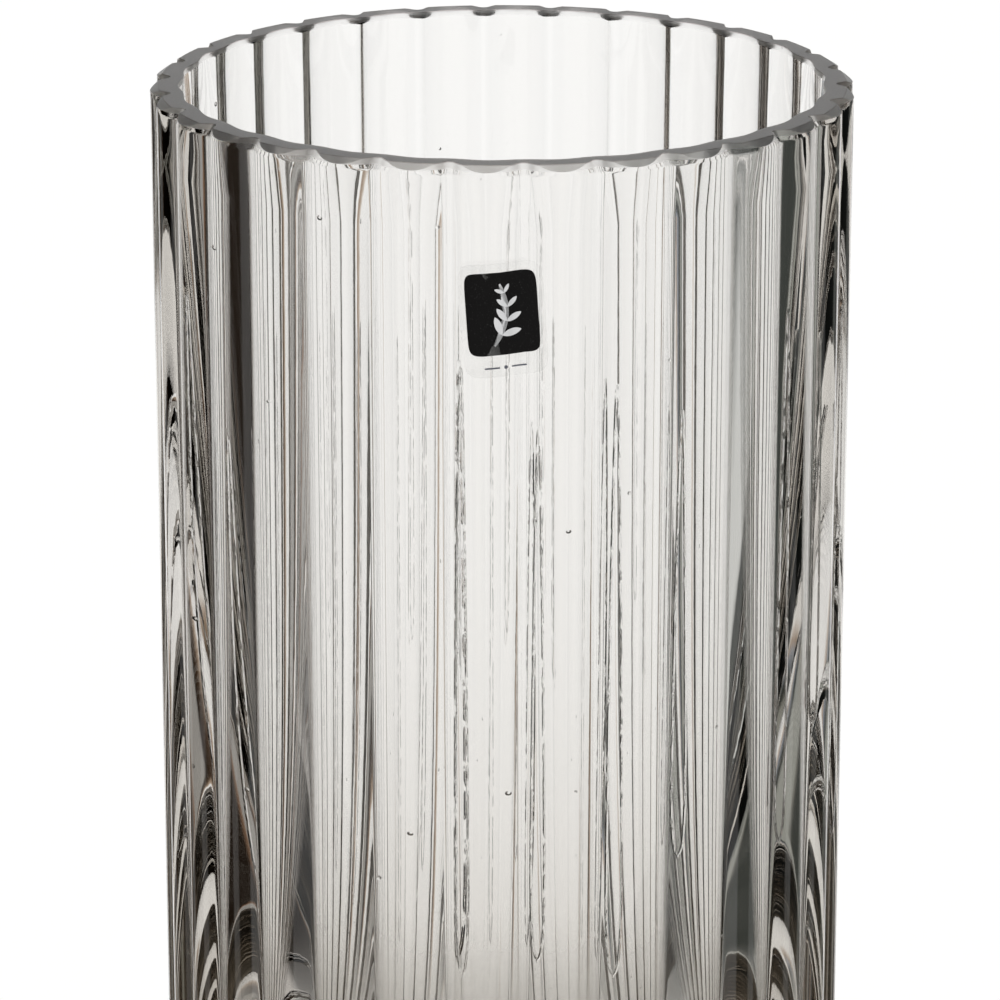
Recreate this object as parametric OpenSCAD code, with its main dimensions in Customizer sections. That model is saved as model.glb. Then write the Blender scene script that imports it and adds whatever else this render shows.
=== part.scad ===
// Heavy pressed glass cylinder vase with fluted sides and a small adhesive label.
// Millimetres, +Z up. The origin is the centre of the foot, and the label faces -Y.

/* [Body] */
// Height from the foot to the ground rim
body_h = 250; // [200:1:300]
// Diameter over the crests of the ribs
body_d = 125; // [124:0.5:150]
// Number of convex ribs around the body
rib_count = 30; // [26:1:36]
// Radius of the arc that makes the crest of one rib
rib_r = 10; // [8:0.1:12]
// Turn of the first rib crest away from the middle of the front
rib_turn = -2.6; // [-6:0.1:6]

/* [Cavity] */
// Diameter of the mouth at the rim
mouth_d = 114.4; // [104:0.1:115]
// Lean of the wall just below the rim, in degrees
wall_lean = 1.15; // [0:0.05:1.5]
// Lean of the wall where it meets the round floor corner, in degrees
floor_lean = 28; // [10:1:30]
// Thickness of the solid base under the cavity
base_t = 30; // [16:1:50]
// Radius of the round corner between the wall and the floor
floor_corner_r = 14; // [4:0.5:16]
// Number of steps down the curved wall
wall_steps = 16; // [8:1:24]
// Number of steps along the round corner
corner_steps = 8; // [4:1:16]

/* [Rim and foot] */
// Outer diameter of the flat ground band on the rim
rim_flat_d = 121.8; // [120:0.1:123]
// Height of the ground bevel around the rim
rim_bevel_h = 1; // [0.3:0.1:2]
// Diameter of the flat ground foot
foot_flat_d = 120; // [116:0.1:123]
// Height of the bevel around the foot
foot_bevel_h = 1.5; // [0.5:0.1:3]

/* [Label] */
// Width of the clear film
film_w = 14.6; // [12:0.1:20]
// Height of the clear film
film_h = 19.8; // [16:0.1:26]
// Corner radius of the clear film
film_corner_r = 2; // [0.5:0.1:4]
// Thickness of the film with its adhesive
film_t = 0.14; // [0.08:0.01:0.3]
// Width of the dark printed panel
panel_w = 12.2; // [10:0.1:16]
// Height of the dark printed panel
panel_h = 14.4; // [10:0.1:18]
// Corner radius of the dark printed panel
panel_corner_r = 1.6; // [0.4:0.1:3]
// Thickness of one printed layer
print_t = 0.05; // [0.03:0.01:0.1]
// Distance from the rim down to the middle of the label
label_drop = 26.4; // [16:0.1:60]
// Lean of the label, up to the right
label_lean = 4; // [-10:0.5:10]

/* [Hidden] */

$fn = 96;
cavity_fn = 180;
corner_fn = 32;
body_r = body_d / 2;
mouth_r = mouth_d / 2;
rib_pitch = 360 / rib_count;
rib_centre_r = body_r - rib_r;
front = -90;

// The lathe tools run past the glass by this much, so that no two faces coincide.
past = 1;
rim_slope = rim_bevel_h / (body_r - rim_flat_d / 2);
foot_slope = foot_bevel_h / (body_r - foot_flat_d / 2);

// The wall leans evenly near the rim and turns in faster and faster towards the floor corner.
wall_power = 5;
wall_depth = body_h - base_t - floor_corner_r * (1 - sin(floor_lean));
belly = (tan(floor_lean) - tan(wall_lean)) * wall_depth / wall_power;
function cavity_r(depth) =
    mouth_r - tan(wall_lean) * depth - belly * pow(depth / wall_depth, wall_power);
corner_centre_r = cavity_r(wall_depth) - floor_corner_r * cos(floor_lean);

panel_lift = 1.1;
caption_drop = 8.3;
caption_dot_r = 0.32;
caption_bar_w = 2.6;
caption_bar_h = 0.28;
caption_bar_x = caption_bar_w / 2 + 1;
stem_r = 9;
stem_w = 0.34;
stem_arc = 74;
leaf_l = 3.4;
leaf_w = 1.25;
leaf_pairs = 4;
leaf_angle = 48;
leaf_shrink = 0.16;
leaf_start = 0.9;
leaf_end = 0.6;
sprig_x = 0.9;
sprig_y = panel_lift - 0.4;
sprig_turn = -8;

// Directions of the rib crests that the label lies on and beside.
label_ribs = [-1, 0, 1];

// --- shared shapes ---

// One convex rib as a round bar, its crest pushed out by grow.
module rib(k, grow) {
    rotate([0, 0, front + rib_turn + k * rib_pitch])
        translate([rib_centre_r, 0])
            circle(r = rib_r + grow);
}

// The scalloped outline of the whole body.
module fluted_outline() {
    for (k = [0 : rib_count - 1])
        rib(k, 0);
    circle(r = rib_centre_r);
}

// A rectangle with round corners, centred.
module round_plate(w, h, r) {
    hull()
        for (x = [-1, 1], y = [-1, 1])
            translate([x * (w / 2 - r), y * (h / 2 - r)])
                circle(r = r, $fn = corner_fn);
}

// Stands a flat drawing on the front of the body, leaning with the label, as a deep block.
module label_block() {
    translate([0, 0, body_h - label_drop])
        rotate([90, -label_lean, 0])
            linear_extrude(height = body_r + past)
                children();
}

// The part of a drawing that lies between two heights above the glass.
module label_layer(low, high) {
    intersection() {
        label_block() children();
        translate([0, 0, body_h - label_drop - film_h])
            linear_extrude(height = 2 * film_h)
                difference() {
                    for (k = label_ribs)
                        rib(k, high);
                    for (k = label_ribs)
                        rib(k, low);
                    circle(r = rib_centre_r);
                }
    }
}

// A pointed leaf of length l and width w that starts at the origin and points along +X.
module leaf(l, w) {
    side_r = (l * l / 4 + w * w / 4) / w;
    intersection() {
        translate([l / 2, side_r - w / 2]) circle(r = side_r);
        translate([l / 2, w / 2 - side_r]) circle(r = side_r);
    }
}

// --- the vase ---

// Everything inside the ground rim and foot, as a turned blank.
module turned_blank() {
    wide = body_r + past;
    rotate_extrude()
        polygon([
            [0, 0],
            [foot_flat_d / 2, 0],
            [wide, foot_slope * (wide - foot_flat_d / 2)],
            [wide, body_h - rim_slope * (wide - rim_flat_d / 2)],
            [rim_flat_d / 2, body_h],
            [0, body_h]
        ]);
}

// The cavity with its curved wall and round floor corner, open past the rim.
module cavity() {
    corner = [for (i = [0 : corner_steps])
        let (a = -90 + i * (90 - floor_lean) / corner_steps)
        [corner_centre_r + floor_corner_r * cos(a),
         base_t + floor_corner_r + floor_corner_r * sin(a)]];
    wall = [for (i = [1 : wall_steps])
        let (depth = wall_depth * (1 - i / wall_steps))
        [cavity_r(depth), body_h - depth]];
    rotate_extrude($fn = cavity_fn)
        polygon(concat(
            [[0, base_t]],
            corner,
            wall,
            [[mouth_r + past * tan(wall_lean), body_h + past],
             [0, body_h + past]]
        ));
}

module glass_body() {
    color("gainsboro", 0.4)
        difference() {
            intersection() {
                linear_extrude(height = body_h)
                    fluted_outline();
                turned_blank();
            }
            cavity();
        }
}

// --- the label ---

module label_film() {
    color("white", 0.5)
        label_layer(0, film_t)
            round_plate(film_w, film_h, film_corner_r);
}

module label_panel() {
    color("black")
        label_layer(film_t, film_t + print_t)
            translate([0, panel_lift])
                round_plate(panel_w, panel_h, panel_corner_r);
}

// A curved stem with pairs of leaves that get smaller towards its tip.
module sprig_drawing() {
    translate([-stem_r, 0]) {
        intersection() {
            difference() {
                circle(r = stem_r + stem_w / 2);
                circle(r = stem_r - stem_w / 2);
            }
            rotate([0, 0, -stem_arc / 2])
                square(2 * stem_r);
            rotate([0, 0, stem_arc / 2 - 90])
                square(2 * stem_r);
        }
        for (i = [0 : leaf_pairs - 1], side = [-1, 1])
            let (size = 1 - leaf_shrink * i)
            rotate([0, 0, stem_arc * ((i + leaf_start) / (leaf_pairs + leaf_end) - 0.5)])
                translate([stem_r, 0])
                    rotate([0, 0, 90 + side * leaf_angle])
                        leaf(leaf_l * size, leaf_w * size);
    }
}

module label_sprig() {
    color("silver")
        label_layer(film_t + print_t, film_t + 2 * print_t)
            translate([sprig_x, sprig_y])
                rotate([0, 0, sprig_turn])
                    sprig_drawing();
}

module label_caption() {
    color("slategray")
        label_layer(film_t, film_t + print_t)
            translate([0, -caption_drop]) {
                circle(r = caption_dot_r);
                for (side = [-1, 1])
                    translate([side * caption_bar_x, 0])
                        square([caption_bar_w, caption_bar_h], center = true);
            }
}

glass_body();
label_film();
label_panel();
label_sprig();
label_caption();
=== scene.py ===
"""A heavy ribbed glass vase with a small adhesive label, seen in soft back light."""

import math

import bpy
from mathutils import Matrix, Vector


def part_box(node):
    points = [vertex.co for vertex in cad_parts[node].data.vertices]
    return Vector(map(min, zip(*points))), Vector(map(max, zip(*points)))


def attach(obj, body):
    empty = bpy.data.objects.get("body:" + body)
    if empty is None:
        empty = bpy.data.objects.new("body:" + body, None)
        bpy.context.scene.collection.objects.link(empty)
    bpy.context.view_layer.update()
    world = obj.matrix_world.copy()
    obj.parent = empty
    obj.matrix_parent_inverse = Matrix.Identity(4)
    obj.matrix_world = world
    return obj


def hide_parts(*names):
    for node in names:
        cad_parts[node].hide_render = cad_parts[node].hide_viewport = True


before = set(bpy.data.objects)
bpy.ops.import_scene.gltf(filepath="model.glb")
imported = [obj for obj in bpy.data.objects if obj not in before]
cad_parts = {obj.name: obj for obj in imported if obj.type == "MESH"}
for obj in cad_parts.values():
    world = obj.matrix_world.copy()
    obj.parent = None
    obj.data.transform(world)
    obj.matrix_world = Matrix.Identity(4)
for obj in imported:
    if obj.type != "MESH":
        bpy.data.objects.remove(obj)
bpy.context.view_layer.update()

MM = 0.001
TAU = 2 * math.pi
FRONT = -math.pi / 2

# --- sizes of the glass ---

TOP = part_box("glass_body")[1][2]
BODY_R = 62.5 * MM

# Arcs of the ribs' crests and valleys, and how far down the deeper ones of the rim reach.
RIB_COUNT = 30
RIB_TURN = math.radians(-2.6)
PITCH = TAU / RIB_COUNT
CREST_R = 10 * MM
VALLEY_R = 2.0 * MM
RIM_CREST_R = 6.0 * MM
RIM_VALLEY_R = 1.33 * MM
RIB_STEPS = 34
RIM_REACH = 2 * MM
RIM_MARGIN = 1.6 * MM
RIM_STEPS = 6
# The inner edge of the rim follows the ribs by this much.
INNER_WAVE = 0.3 * MM
WAVE_REACH = 6 * MM

# The cavity: nearly straight below the rim, then leaning in to a round corner and a flat floor.
MOUTH_R = 57.2 * MM
BASE = 30 * MM
CORNER_R = 14 * MM
WALL_LEAN = math.radians(1.15)
FLOOR_LEAN = math.radians(28)
WALL_POWER = 5
WALL_STEPS = 36
CORNER_STEPS = 12
WALL_DEPTH = TOP - BASE - CORNER_R * (1 - math.sin(FLOOR_LEAN))
BELLY = (math.tan(FLOOR_LEAN) - math.tan(WALL_LEAN)) * WALL_DEPTH / WALL_POWER

RIM_FLAT_R = 60.9 * MM
RIM_BEVEL = 1.0 * MM
FOOT_FLAT_R = 60 * MM
FOOT_BEVEL = 1.5 * MM
FOOT_RINGS = (20 * MM, 45 * MM)
FOOT_TOP = 2.5 * MM
FLOOR_RING = 6 * MM
EDGE = 0.08 * MM


# --- the glass ---

def rib_radius(angle, crest_r, valley_r):
    """Radius of a rib outline of two arcs, at an angle from the middle of its crest."""
    centre = BODY_R - crest_r
    valley = PITCH / 2
    across = centre * math.sin(valley)
    hollow = centre * math.cos(valley) + math.sqrt((crest_r + valley_r) ** 2 - across ** 2)
    lean = valley + math.asin(across / (crest_r + valley_r))
    joint = math.atan2(crest_r * math.sin(lean), centre + crest_r * math.cos(lean))
    if abs(angle) < joint:
        return centre * math.cos(angle) + math.sqrt(crest_r ** 2 - (centre * math.sin(angle)) ** 2)
    off = valley - abs(angle)
    return hollow * math.cos(off) - math.sqrt(valley_r ** 2 - (hollow * math.sin(off)) ** 2)


def rib_columns():
    """Once around the body: angle from +X, and the outline's radius at the rim and below it."""
    columns = []
    for k in range(RIB_COUNT):
        for i in range(RIB_STEPS):
            angle = PITCH * (i / RIB_STEPS - 0.5)
            columns.append((FRONT + RIB_TURN + k * PITCH + angle,
                            rib_radius(angle, RIM_CREST_R, RIM_VALLEY_R),
                            rib_radius(angle, CREST_R, VALLEY_R)))
    return columns


def cavity_radius(depth):
    """Radius of the cavity at a depth below the rim."""
    return MOUTH_R - math.tan(WALL_LEAN) * depth - BELLY * (depth / WALL_DEPTH) ** WALL_POWER


def nearness(depth, reach):
    """1 at the rim, easing to 0 at a depth of reach."""
    t = max(0, 1 - depth / reach)
    return t * t * (3 - 2 * t)


def glass_rings(columns):
    """Rings of points from the middle of the foot, up the outside and down the inside.

    The second list holds the numbers of the rings that are sharp edges.
    """
    rim_slope = RIM_BEVEL / (BODY_R - RIM_FLAT_R)
    foot_slope = FOOT_BEVEL / (BODY_R - FOOT_FLAT_R)

    def round_ring(r, z):
        return [(r * math.cos(a), r * math.sin(a), z) for a, *_ in columns]

    def inner_ring(r, z):
        wave = INNER_WAVE * nearness(TOP - z, WAVE_REACH)
        ring = []
        for a, *_ in columns:
            bent = r + wave * math.cos(RIB_COUNT * (a - FRONT - RIB_TURN))
            ring.append((bent * math.cos(a), bent * math.sin(a), z))
        return ring

    def outline_ring(z):
        mix = nearness(TOP - z, RIM_REACH)
        return [((r + mix * (rim_r - r)) * math.cos(a), (r + mix * (rim_r - r)) * math.sin(a), z)
                for a, rim_r, r in columns]

    def bevelled(flat_r, z, slope, way):
        flat = []
        edge = []
        for a, rim_r, body_r in columns:
            r = rim_r if way < 0 else body_r
            inner = min(flat_r, r - EDGE)
            flat.append((inner * math.cos(a), inner * math.sin(a), z))
            edge.append((r * math.cos(a), r * math.sin(a), z + way * max(EDGE, slope * (r - flat_r))))
        return flat, edge

    foot_flat, foot_edge = bevelled(FOOT_FLAT_R, 0, foot_slope, 1)
    rim_flat, rim_edge = bevelled(RIM_FLAT_R, TOP, rim_slope, -1)

    rings = [round_ring(r, 0) for r in FOOT_RINGS] + [foot_flat, foot_edge]
    sharp = [len(rings) - 2, len(rings) - 1]
    rings.append(outline_ring(FOOT_TOP))
    for i in range(RIM_STEPS + 1):
        rings.append(outline_ring(TOP - RIM_REACH + (RIM_REACH - RIM_MARGIN) * i / RIM_STEPS))
    sharp += range(len(rings), len(rings) + 4)
    rings += [rim_edge, rim_flat, inner_ring(MOUTH_R + EDGE, TOP), inner_ring(MOUTH_R, TOP - EDGE)]

    for i in range(1, WALL_STEPS + 1):
        depth = EDGE + (WALL_DEPTH - EDGE) * i / WALL_STEPS
        rings.append(inner_ring(cavity_radius(depth), TOP - depth))
    corner_centre = cavity_radius(WALL_DEPTH) - CORNER_R * math.cos(FLOOR_LEAN)
    for i in range(1, CORNER_STEPS + 1):
        a = -FLOOR_LEAN - (math.pi / 2 - FLOOR_LEAN) * i / CORNER_STEPS
        rings.append(round_ring(corner_centre + CORNER_R * math.cos(a),
                                BASE + CORNER_R + CORNER_R * math.sin(a)))
    rings.append(round_ring(FLOOR_RING, BASE))
    return rings, sharp


def skin(name, parts, sharp=()):
    """A mesh of one or more closed skins, each a list of rings that is closed at both ends.

    The rings numbered in sharp are hard edges of the first skin.
    """
    verts = []
    faces = []
    for rings in parts:
        start = len(verts)
        count = len(rings[0])
        verts += [p for ring in rings for p in ring]
        for j in range(len(rings) - 1):
            low, high = start + j * count, start + (j + 1) * count
            for i in range(count):
                n = (i + 1) % count
                faces.append((low + i, low + n, high + n, high + i))
        for j, flip in ((0, True), (len(rings) - 1, False)):
            first = start + j * count
            verts.append([sum(axis) / count for axis in zip(*rings[j])])
            for i in range(count):
                pair = (first + i, first + (i + 1) % count)
                faces.append((len(verts) - 1,) + (pair[::-1] if flip else pair))
    mesh = bpy.data.meshes.new(name)
    mesh.from_pydata(verts, [], faces)
    mesh.shade_smooth()
    count = len(parts[0][0])
    for edge in mesh.edges:
        a, b = edge.vertices
        if a // count == b // count and a // count in sharp:
            edge.use_edge_sharp = True
    obj = bpy.data.objects.new(name, mesh)
    bpy.context.collection.objects.link(obj)
    return obj


# --- materials ---

def node_material(name):
    material = bpy.data.materials.new(name)
    material.use_nodes = True
    tree = material.node_tree
    return material, tree, tree.nodes["Principled BSDF"]


def add(tree, kind, **sockets):
    """A new node with values, or links from other nodes' outputs, on its inputs."""
    node = tree.nodes.new(kind)
    for name, value in sockets.items():
        socket = node.inputs[name.replace("_", " ")]
        if isinstance(value, bpy.types.NodeSocket):
            tree.links.new(value, socket)
        else:
            socket.default_value = value
    return node


def math_node(tree, operation, *values):
    node = tree.nodes.new("ShaderNodeMath")
    node.operation = operation
    for socket, value in zip(node.inputs, values):
        if isinstance(value, bpy.types.NodeSocket):
            tree.links.new(value, socket)
        else:
            socket.default_value = value
    return node.outputs[0]


def blend(tree, factor, first, second):
    """A colour between two: each is a plain colour or another node's output."""
    node = tree.nodes.new("ShaderNodeMix")
    node.data_type = "RGBA"
    tree.links.new(factor, node.inputs["Factor"])
    for socket, colour in ((node.inputs[6], first), (node.inputs[7], second)):
        if isinstance(colour, bpy.types.NodeSocket):
            tree.links.new(colour, socket)
        else:
            socket.default_value = (*colour, 1)
    return node.outputs[2]


def ramp(tree, factor, stops):
    node = add(tree, "ShaderNodeMapRange", Value=factor)
    node.interpolation_type = "SMOOTHSTEP"
    names = ("From Min", "From Max", "To Min", "To Max")
    for name, value in zip(names, stops):
        node.inputs[name].default_value = value
    return node.outputs[0]


PEEL = 0.002 * MM
FLOW_DEPTH = 0.3 * MM
FLOW_WIDTH = 0.28 * MM
FLOW_TOP = TOP - 6 * MM
FLOW_TOP_SPREAD = 60 * MM
FLOW_LENGTH = 70 * MM
FLOW_LENGTH_SPREAD = 70 * MM
FLOW_SHIFT = 2.5 * MM
FLOW_HALF = 0.8 * MM
FLOW_HALF_SPREAD = 1.3 * MM
FLOW_MISSING = 0.35
# Painted shade: the dark grey base colour of the rim's flat top.
RIM_PAINTED_SHADE = (0.46, 0.4, 0.4)
SMOKE = (0.54, 0.49, 0.42)


def flow_lines(tree, place):
    """Height of the long narrow loops that the pressing leaves in the glass, one at most per rib.

    A loop starts as a point below the rim, opens downwards, and closes in a round end.
    Its line is a row of beads. A few small round seeds lie between the loops.
    """
    parts = add(tree, "ShaderNodeSeparateXYZ", Vector=place).outputs
    forward = math_node(tree, "MULTIPLY", parts["Y"], -1.0)
    heading = math_node(tree, "ARCTAN2", parts["X"], forward)
    ribs = math_node(tree, "MULTIPLY_ADD", heading, 1 / PITCH, RIB_COUNT)
    number = math_node(tree, "FLOOR", ribs)
    chance = add(tree, "ShaderNodeTexWhiteNoise")
    chance.noise_dimensions = "1D"
    tree.links.new(number, chance.inputs["W"])
    luck = add(tree, "ShaderNodeSeparateColor", Color=chance.outputs["Color"]).outputs
    across = math_node(tree, "MULTIPLY_ADD", math_node(tree, "FRACT", ribs), PITCH * BODY_R,
                       -0.5 * PITCH * BODY_R)
    shift = math_node(tree, "MULTIPLY_ADD", luck[1], 2 * FLOW_SHIFT, -FLOW_SHIFT)
    start = math_node(tree, "MULTIPLY_ADD", luck[0], -FLOW_TOP_SPREAD, FLOW_TOP)
    fallen = math_node(tree, "SUBTRACT", start, parts["Z"])
    length = math_node(tree, "MULTIPLY_ADD", luck[2], FLOW_LENGTH_SPREAD, FLOW_LENGTH)
    along = math_node(tree, "DIVIDE", fallen, length)
    opening = math_node(tree, "POWER", math_node(tree, "MAXIMUM", along, 0), 0.6)
    closing = math_node(tree, "SUBTRACT", 1, math_node(tree, "POWER", along, 14))
    closing = math_node(tree, "SQRT", math_node(tree, "MAXIMUM", closing, 0))
    half = math_node(tree, "MULTIPLY", opening, closing)
    half = math_node(tree, "MULTIPLY", half,
                     math_node(tree, "MULTIPLY_ADD", luck[1], FLOW_HALF_SPREAD, FLOW_HALF))
    side = math_node(tree, "ABSOLUTE", math_node(tree, "SUBTRACT", across, shift))
    off_line = math_node(tree, "ABSOLUTE", math_node(tree, "SUBTRACT", side, half))
    line = ramp(tree, off_line, (0, FLOW_WIDTH, 1, 0))
    line = math_node(tree, "MULTIPLY", line, ramp(tree, along, (0, 0.03, 0, 1)))
    line = math_node(tree, "MULTIPLY", line, ramp(tree, along, (0.99, 1.01, 1, 0)))
    line = math_node(tree, "MULTIPLY", line, math_node(tree, "GREATER_THAN", luck[0], FLOW_MISSING))
    stretched = add(tree, "ShaderNodeMapping", Vector=place, Scale=(1, 1, 0.3)).outputs[0]
    beads = add(tree, "ShaderNodeTexNoise", Vector=stretched, Scale=1100.0, Detail=2.0).outputs[0]
    beaded = math_node(tree, "MULTIPLY", line, ramp(tree, beads, (0.35, 0.6, 0.1, 1)))
    seeds = add(tree, "ShaderNodeTexVoronoi", Vector=place, Scale=95.0).outputs["Distance"]
    return math_node(tree, "MAXIMUM", beaded, ramp(tree, seeds, (0.015, 0.045, 1, 0)))


def glass_material():
    """Light smoky glass: fire-polished and a little uneven, with a fine ground rim whose flat top has
    painted shade.
    """
    material, tree, shader = node_material("smoky_glass")
    shader.inputs["IOR"].default_value = 1.5
    shader.inputs["Transmission Weight"].default_value = 1

    place = tree.nodes.new("ShaderNodeTexCoord").outputs["Object"]
    parts = add(tree, "ShaderNodeSeparateXYZ", Vector=place)
    ground = ramp(tree, parts.outputs["Z"], (TOP - 1.1 * MM, TOP - 0.9 * MM, 0, 1))
    # Painted shade: the rim's flat top gets a dark grey base colour, standing in for the shade it sits
    # in with the light behind the vase.
    rim_shade_band = ramp(tree, parts.outputs["Z"], (TOP - 0.2 * MM, TOP - 0.05 * MM, 0, 1))
    tree.links.new(blend(tree, rim_shade_band, (1, 1, 1), RIM_PAINTED_SHADE), shader.inputs["Base Color"])
    grain = add(tree, "ShaderNodeTexNoise", Vector=place, Scale=1800.0, Detail=2.0).outputs[0]
    frost = math_node(tree, "MULTIPLY_ADD", grain, 0.2, 0.3)
    tree.links.new(math_node(tree, "MULTIPLY", ground, frost), shader.inputs["Roughness"])

    stretched = add(tree, "ShaderNodeMapping", Vector=place, Scale=(1, 1, 0.25)).outputs[0]
    peel = add(tree, "ShaderNodeTexNoise", Vector=stretched, Scale=900.0, Detail=1.0).outputs[0]
    bump = add(tree, "ShaderNodeBump", Height=peel, Strength=1.0, Distance=PEEL)
    lines = add(tree, "ShaderNodeBump", Height=flow_lines(tree, place), Strength=1.0,
                Distance=FLOW_DEPTH, Normal=bump.outputs[0])
    tree.links.new(lines.outputs[0], shader.inputs["Normal"])

    smoke = add(tree, "ShaderNodeVolumeAbsorption", Color=(*SMOKE, 1), Density=24.0)
    tree.links.new(smoke.outputs[0], tree.nodes["Material Output"].inputs["Volume"])
    return material


def glass_piece():
    rings, sharp = glass_rings(rib_columns())
    piece = skin("ribbed_glass", [rings], sharp)
    piece.data.materials.append(glass_material())
    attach(piece, "root")
    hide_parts("glass_body")


glass_piece()

# --- the label ---

LABEL_Z = TOP - 26.4 * MM
FILM_SIZE = (14.6 * MM, 19.8 * MM)
PANEL_SIZE = (12.3 * MM, 14.4 * MM)
DOT_SIZE = (0.64 * MM, 0.64 * MM)
BAR_SIZE = (2.6 * MM, 0.28 * MM)
BAR_X = 2.3 * MM
CAPTION_Y = -8.3 * MM
LABEL_LEAN = math.radians(4)
LABEL_LIFT = 1.1 * MM
# The film bridges the valleys of the ribs with a wider arc than the glass has.
BRIDGE_R = 7 * MM
FILM_T = 0.14 * MM
PRINT_T = 0.05 * MM


def on_label(u, v, height):
    """A point of the label's own flat drawing, laid on the glass at a height above it."""
    across = u * math.cos(LABEL_LEAN) - v * math.sin(LABEL_LEAN)
    up = u * math.sin(LABEL_LEAN) + v * math.cos(LABEL_LEAN)
    turn = across / BODY_R
    off_crest = (turn - RIB_TURN + PITCH / 2) % PITCH - PITCH / 2
    r = rib_radius(off_crest, CREST_R, BRIDGE_R) + height
    return (r * math.cos(FRONT + turn), r * math.sin(FRONT + turn), LABEL_Z + up)


def plate(outline, low, high, centre=(0, 0)):
    """Rings of a thin plate on the label: its underside from the middle out, then its top."""
    sizes = [0.12 * i for i in range(1, 9)] + [1]
    rings = []
    for scales, height in ((sizes, low), (sizes[::-1], high)):
        for scale in scales:
            rings.append([on_label(centre[0] + scale * u, centre[1] + scale * v, height)
                          for u, v in outline])
    return rings


def squircle(width, height, power, count=96):
    """Outline of a rectangle with soft corners and slightly bulging sides."""
    outline = []
    for i in range(count):
        c, s = math.cos(-TAU * i / count), math.sin(-TAU * i / count)
        outline.append((width / 2 * math.copysign(abs(c) ** (2 / power), c),
                        height / 2 * math.copysign(abs(s) ** (2 / power), s)))
    return outline


def leaf(length, width, direction, count=20):
    """Outline of a pointed leaf about its own middle."""
    outline = []
    for i in range(count):
        a = -TAU * i / count
        u = length / 2 * math.cos(a)
        v = width / 2 * math.sin(a) * abs(math.sin(a)) ** 0.6
        outline.append((u * math.cos(direction) - v * math.sin(direction),
                        u * math.sin(direction) + v * math.cos(direction)))
    return outline


def ink(name, colour, metallic, roughness):
    """Printed ink with a fine uneven grain and a few paler specks."""
    material, tree, shader = node_material(name)
    place = tree.nodes.new("ShaderNodeTexCoord").outputs["Object"]
    grain = add(tree, "ShaderNodeTexNoise", Vector=place, Scale=5200.0, Detail=3.0).outputs[0]
    speck = ramp(tree, grain, (0.62, 0.75, 0, 0.35))
    paler = [0.6 * c + 0.12 for c in colour]
    tree.links.new(blend(tree, speck, colour, paler), shader.inputs["Base Color"])
    shader.inputs["Metallic"].default_value = metallic
    shader.inputs["Specular IOR Level"].default_value = 0.06
    tree.links.new(math_node(tree, "MULTIPLY_ADD", grain, 0.25, roughness - 0.12),
                   shader.inputs["Roughness"])
    bump = add(tree, "ShaderNodeBump", Height=grain, Strength=0.3, Distance=0.02 * MM)
    tree.links.new(bump.outputs[0], shader.inputs["Normal"])
    return material


def film_material():
    """Clear film, a little milky, with faint ripples from the hand that stuck it on."""
    material, tree, shader = node_material("clear_film")
    place = tree.nodes.new("ShaderNodeTexCoord").outputs["Object"]
    ripple = add(tree, "ShaderNodeTexNoise", Vector=place, Scale=260.0, Detail=2.0).outputs[0]
    shader.inputs["Base Color"].default_value = (0.82, 0.82, 0.8, 1)
    tree.links.new(ramp(tree, ripple, (0.3, 0.7, 0.04, 0.11)), shader.inputs["Alpha"])
    tree.links.new(math_node(tree, "MULTIPLY_ADD", ripple, 0.2, 0.12), shader.inputs["Roughness"])
    bump = add(tree, "ShaderNodeBump", Height=ripple, Strength=0.4, Distance=0.05 * MM)
    tree.links.new(bump.outputs[0], shader.inputs["Normal"])
    return material


def label_piece(name, parts, material, node):
    piece = skin(name, parts)
    piece.data.materials.append(material)
    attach(piece, "root")
    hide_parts(node)


STEM_R = 9 * MM
STEM_HALF = 0.17 * MM
STEM_ARC = math.radians(74)
LEAF_PAIRS = 4
LEAF_LENGTH = 3.4 * MM
LEAF_WIDTH = 1.25 * MM
LEAF_ANGLE = math.radians(48)
LEAF_SHRINK = 0.16
SPRIG_AT = (0.9 * MM, LABEL_LIFT - 0.4 * MM)
SPRIG_TURN = math.radians(-8)


def sprig_parts():
    """A curved stem and pairs of leaves that get smaller towards the tip."""
    low, high = FILM_T + PRINT_T, FILM_T + 2 * PRINT_T

    def placed(u, v):
        c, s = math.cos(SPRIG_TURN), math.sin(SPRIG_TURN)
        return SPRIG_AT[0] + u * c - v * s, SPRIG_AT[1] + u * s + v * c

    def stem_point(t, side=0.0):
        a = STEM_ARC * (t - 0.5)
        return placed((STEM_R + side) * math.cos(a) - STEM_R, (STEM_R + side) * math.sin(a))

    steps = 14
    stem = [stem_point(i / steps, STEM_HALF) for i in range(steps + 1)]
    stem += [stem_point(i / steps, -STEM_HALF) for i in reversed(range(steps + 1))]
    parts = [[[on_label(u, v, h) for u, v in stem[::-1]] for h in (low, high)]]
    for k in range(LEAF_PAIRS):
        size = 1 - LEAF_SHRINK * k
        length, width = LEAF_LENGTH * size, LEAF_WIDTH * size
        t = (k + 0.9) / (LEAF_PAIRS + 0.6)
        root = stem_point(t)
        for side in (-1, 1):
            direction = STEM_ARC * (t - 0.5) + math.pi / 2 + side * LEAF_ANGLE + SPRIG_TURN
            centre = (root[0] + length / 2 * math.cos(direction),
                      root[1] + length / 2 * math.sin(direction))
            parts.append(plate(leaf(length, width, direction), low, high, centre))
    return parts


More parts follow.
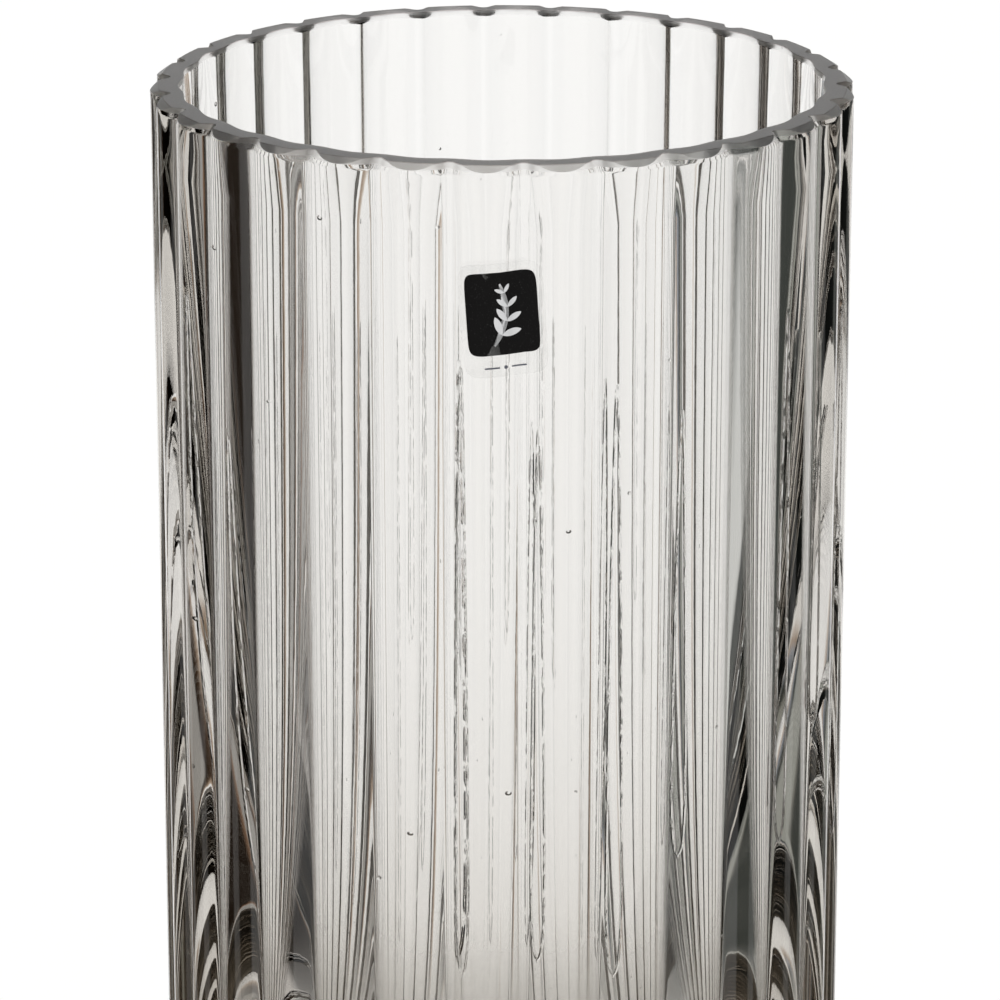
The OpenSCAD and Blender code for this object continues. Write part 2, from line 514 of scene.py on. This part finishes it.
def label():
    """Clear film, black panel, silver sprig, and a small line of marks under the panel."""
    low, high = FILM_T, FILM_T + PRINT_T
    film = plate(squircle(*FILM_SIZE, 7), 0, FILM_T)
    label_piece("label_clear_film", [film], film_material(), "label_film")
    panel = plate(squircle(*PANEL_SIZE, 9), low, high, (0, LABEL_LIFT))
    black = ink("black_ink", (0.006, 0.0055, 0.0055), 0, 0.38)
    label_piece("label_black_panel", [panel], black, "label_panel")
    silver = ink("silver_ink", (0.72, 0.72, 0.73), 0.5, 0.4)
    label_piece("label_silver_sprig", sprig_parts(), silver, "label_sprig")
    marks = [plate(squircle(*DOT_SIZE, 2, 24), low, high, (0, CAPTION_Y))]
    for side in (-1, 1):
        marks.append(plate(squircle(*BAR_SIZE, 8, 40), low, high, (side * BAR_X, CAPTION_Y)))
    grey = ink("grey_ink", (0.12, 0.125, 0.15), 0, 0.5)
    label_piece("label_caption_marks", marks, grey, "label_caption")


label()

# --- studio ---


def studio_light():
    """Soft light all round: a bright field behind the vase, dim to its left and right."""
    world = bpy.data.worlds.new("studio")
    bpy.context.scene.world = world
    world.use_nodes = True
    tree = world.node_tree
    light = tree.nodes["Background"]
    way = tree.nodes.new("ShaderNodeTexCoord").outputs["Generated"]
    parts = add(tree, "ShaderNodeSeparateXYZ", Vector=way)
    heading = math_node(tree, "ARCTAN2", parts.outputs["X"], parts.outputs["Y"])
    turn = math_node(tree, "MULTIPLY_ADD", heading, 1 / TAU, 0.5)
    # Degrees to the right of straight behind the vase, and the light that comes from there.
    white, black, grey = (1.01, 1.01, 1.0), (0.014, 0.009, 0.006), (0.05, 0.055, 0.05)
    amber, blue, brown, olive = (0.5, 0.38, 0.28), (0.3, 0.34, 0.4), (0.22, 0.13, 0.08), (0.2, 0.2, 0.18)
    dim_left, dim_right = (0.36, 0.35, 0.33), (0.36, 0.37, 0.34)
    pale_left, pale_right = (0.6, 0.58, 0.56), (0.65, 0.66, 0.64)
    left = [(-28, white), (-30, amber), (-34, (0.06, 0.035, 0.02)), (-38.5, black),
            (-39.5, dim_left), (-50.5, dim_left), (-52, brown), (-55, black), (-80, black),
            (-84, pale_left), (-96, pale_left), (-100, black), (-125, black), (-129, white)]
    right = [(30, white), (32, amber), (34, blue), (36, grey), (38.5, grey),
             (39.5, dim_right), (50.5, dim_right), (52, olive), (54, grey), (80, grey),
             (84, pale_right), (96, pale_right), (100, grey), (125, grey), (129, white)]
    bands = [(-180, white)] + left[::-1] + right + [(180, white)]
    shade = tree.nodes.new("ShaderNodeValToRGB")
    tree.links.new(turn, shade.inputs[0])
    stops = shade.color_ramp.elements
    stops[0].position = 0
    stops[0].color = (*bands[0][1], 1)
    stops[1].position = 1
    stops[1].color = (*bands[-1][1], 1)
    for degrees, colour in bands[1:-1]:
        stops.new((degrees + 180) / 360).color = (*colour, 1)
    above = ramp(tree, parts.outputs["Z"], (0.55, 0.8, 0, 1))
    sky = blend(tree, above, shade.outputs[0], (1.3, 1.3, 1.28))
    tree.links.new(sky, light.inputs["Color"])


def floor_piece():
    """A pale disc under the vase that fades out into the light of the studio, with a painted glow of
    light under the base.
    """
    mesh = bpy.data.meshes.new("floor")
    radius = 0.5
    count = 96
    verts = [(radius * math.cos(TAU * i / count), radius * math.sin(TAU * i / count), 0)
             for i in range(count)]
    mesh.from_pydata(verts, [], [tuple(range(count))])
    floor = bpy.data.objects.new("floor", mesh)
    bpy.context.collection.objects.link(floor)
    material, tree, shader = node_material("pale_floor")
    shader.inputs["Base Color"].default_value = (0.85, 0.85, 0.84, 1)
    shader.inputs["Roughness"].default_value = 0.6
    place = tree.nodes.new("ShaderNodeTexCoord").outputs["Object"]
    far = add(tree, "ShaderNodeVectorMath", Vector=place)
    far.operation = "LENGTH"
    fade = ramp(tree, far.outputs["Value"], (0.07, 0.15, 1, 0))
    tree.links.new(fade, shader.inputs["Alpha"])
    # Painted light: a glowing pool on the floor under the base, standing in for the light that the thick
    # base gathers and passes down to the floor under it.
    painted_light_pool = ramp(tree, far.outputs["Value"], (0.05, 0.064, 0.2, 0))
    shader.inputs["Emission Color"].default_value = (1, 1, 0.98, 1)
    tree.links.new(painted_light_pool, shader.inputs["Emission Strength"])
    mesh.materials.append(material)


studio_light()
floor_piece()
bpy.context.scene.view_settings.view_transform = "Standard"

# --- camera ---

camera_distance = 937.5 * MM
rim_elevation = math.radians(13.4)
pitch = math.radians(17.96)
camera_data = bpy.data.cameras.new("camera")
camera_data.sensor_width = 36
camera_data.lens = 189.5
camera = bpy.data.objects.new("camera", camera_data)
camera.location = (-0.45 * MM,
                   -camera_distance * math.cos(rim_elevation),
                   TOP + camera_distance * math.sin(rim_elevation))
camera.rotation_euler = (math.pi / 2 - pitch, 0, 0)
bpy.context.collection.objects.link(camera)
bpy.context.scene.camera = camera
